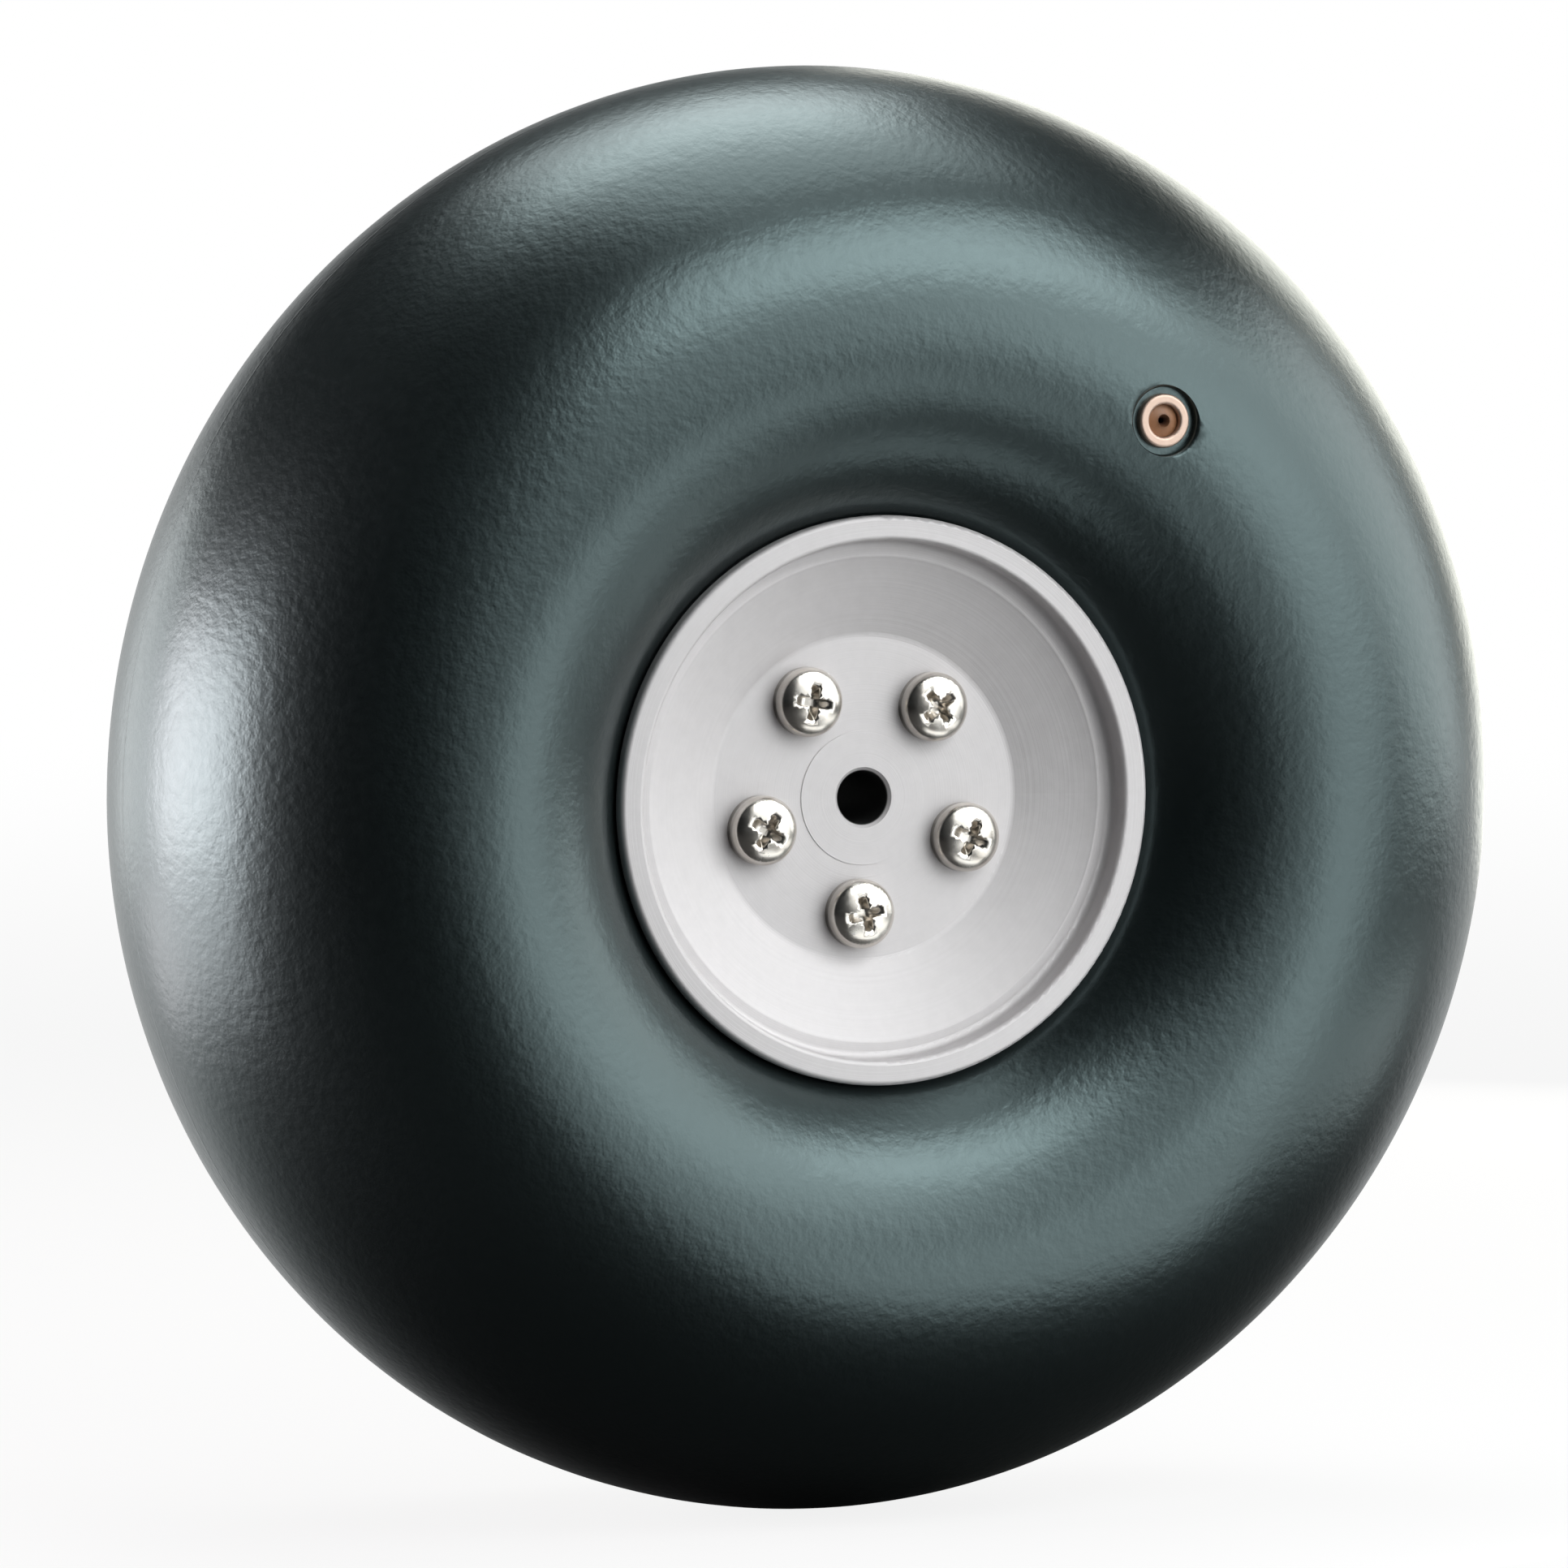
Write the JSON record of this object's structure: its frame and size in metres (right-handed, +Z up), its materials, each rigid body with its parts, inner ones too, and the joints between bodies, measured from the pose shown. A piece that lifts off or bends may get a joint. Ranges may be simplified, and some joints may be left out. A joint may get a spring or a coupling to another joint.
{
  "type": "model aircraft wheel",
  "caption": "Smooth inflatable rubber tyre on a dished two-piece aluminium hub held by screws round a plain axle bore.",
  "frame": {"origin": "centre of the wheel, on its spin axis and mid-plane", "axes": "+Y along the spin axis towards the nut side, the screw heads and the valve face -Y, +Z up"},
  "size_m": [0.0888, 0.0348, 0.0888],
  "materials": {
    "tyre_rubber": "satin moulded rubber",
    "turned_aluminium": "fine turned, tumbled satin",
    "plated_screw_steel": "bright zinc plated",
    "washer_steel": "plated spring steel",
    "plated_nut_steel": "bright zinc plated",
    "valve_brass": "bright rolled eyelet",
    "gum_rubber": "tan gum rubber"
  },
  "bodies": {
    "root": {"tyre": "tyre_rubber", "outer_hub_half": "turned_aluminium", "inner_hub_half": "turned_aluminium", "hub_screw_1": "plated_screw_steel", "hub_screw_2": "plated_screw_steel", "hub_screw_3": "plated_screw_steel", "hub_screw_4": "plated_screw_steel", "hub_screw_5": "plated_screw_steel", "spring_washer_1": "washer_steel", "spring_washer_2": "washer_steel", "spring_washer_3": "washer_steel", "spring_washer_4": "washer_steel", "spring_washer_5": "washer_steel", "hub_nut_1": "plated_nut_steel", "hub_nut_2": "plated_nut_steel", "hub_nut_3": "plated_nut_steel", "hub_nut_4": "plated_nut_steel", "hub_nut_5": "plated_nut_steel", "valve_collar": "valve_brass", "valve_core": "gum_rubber"}
  },
  "joints": []
}
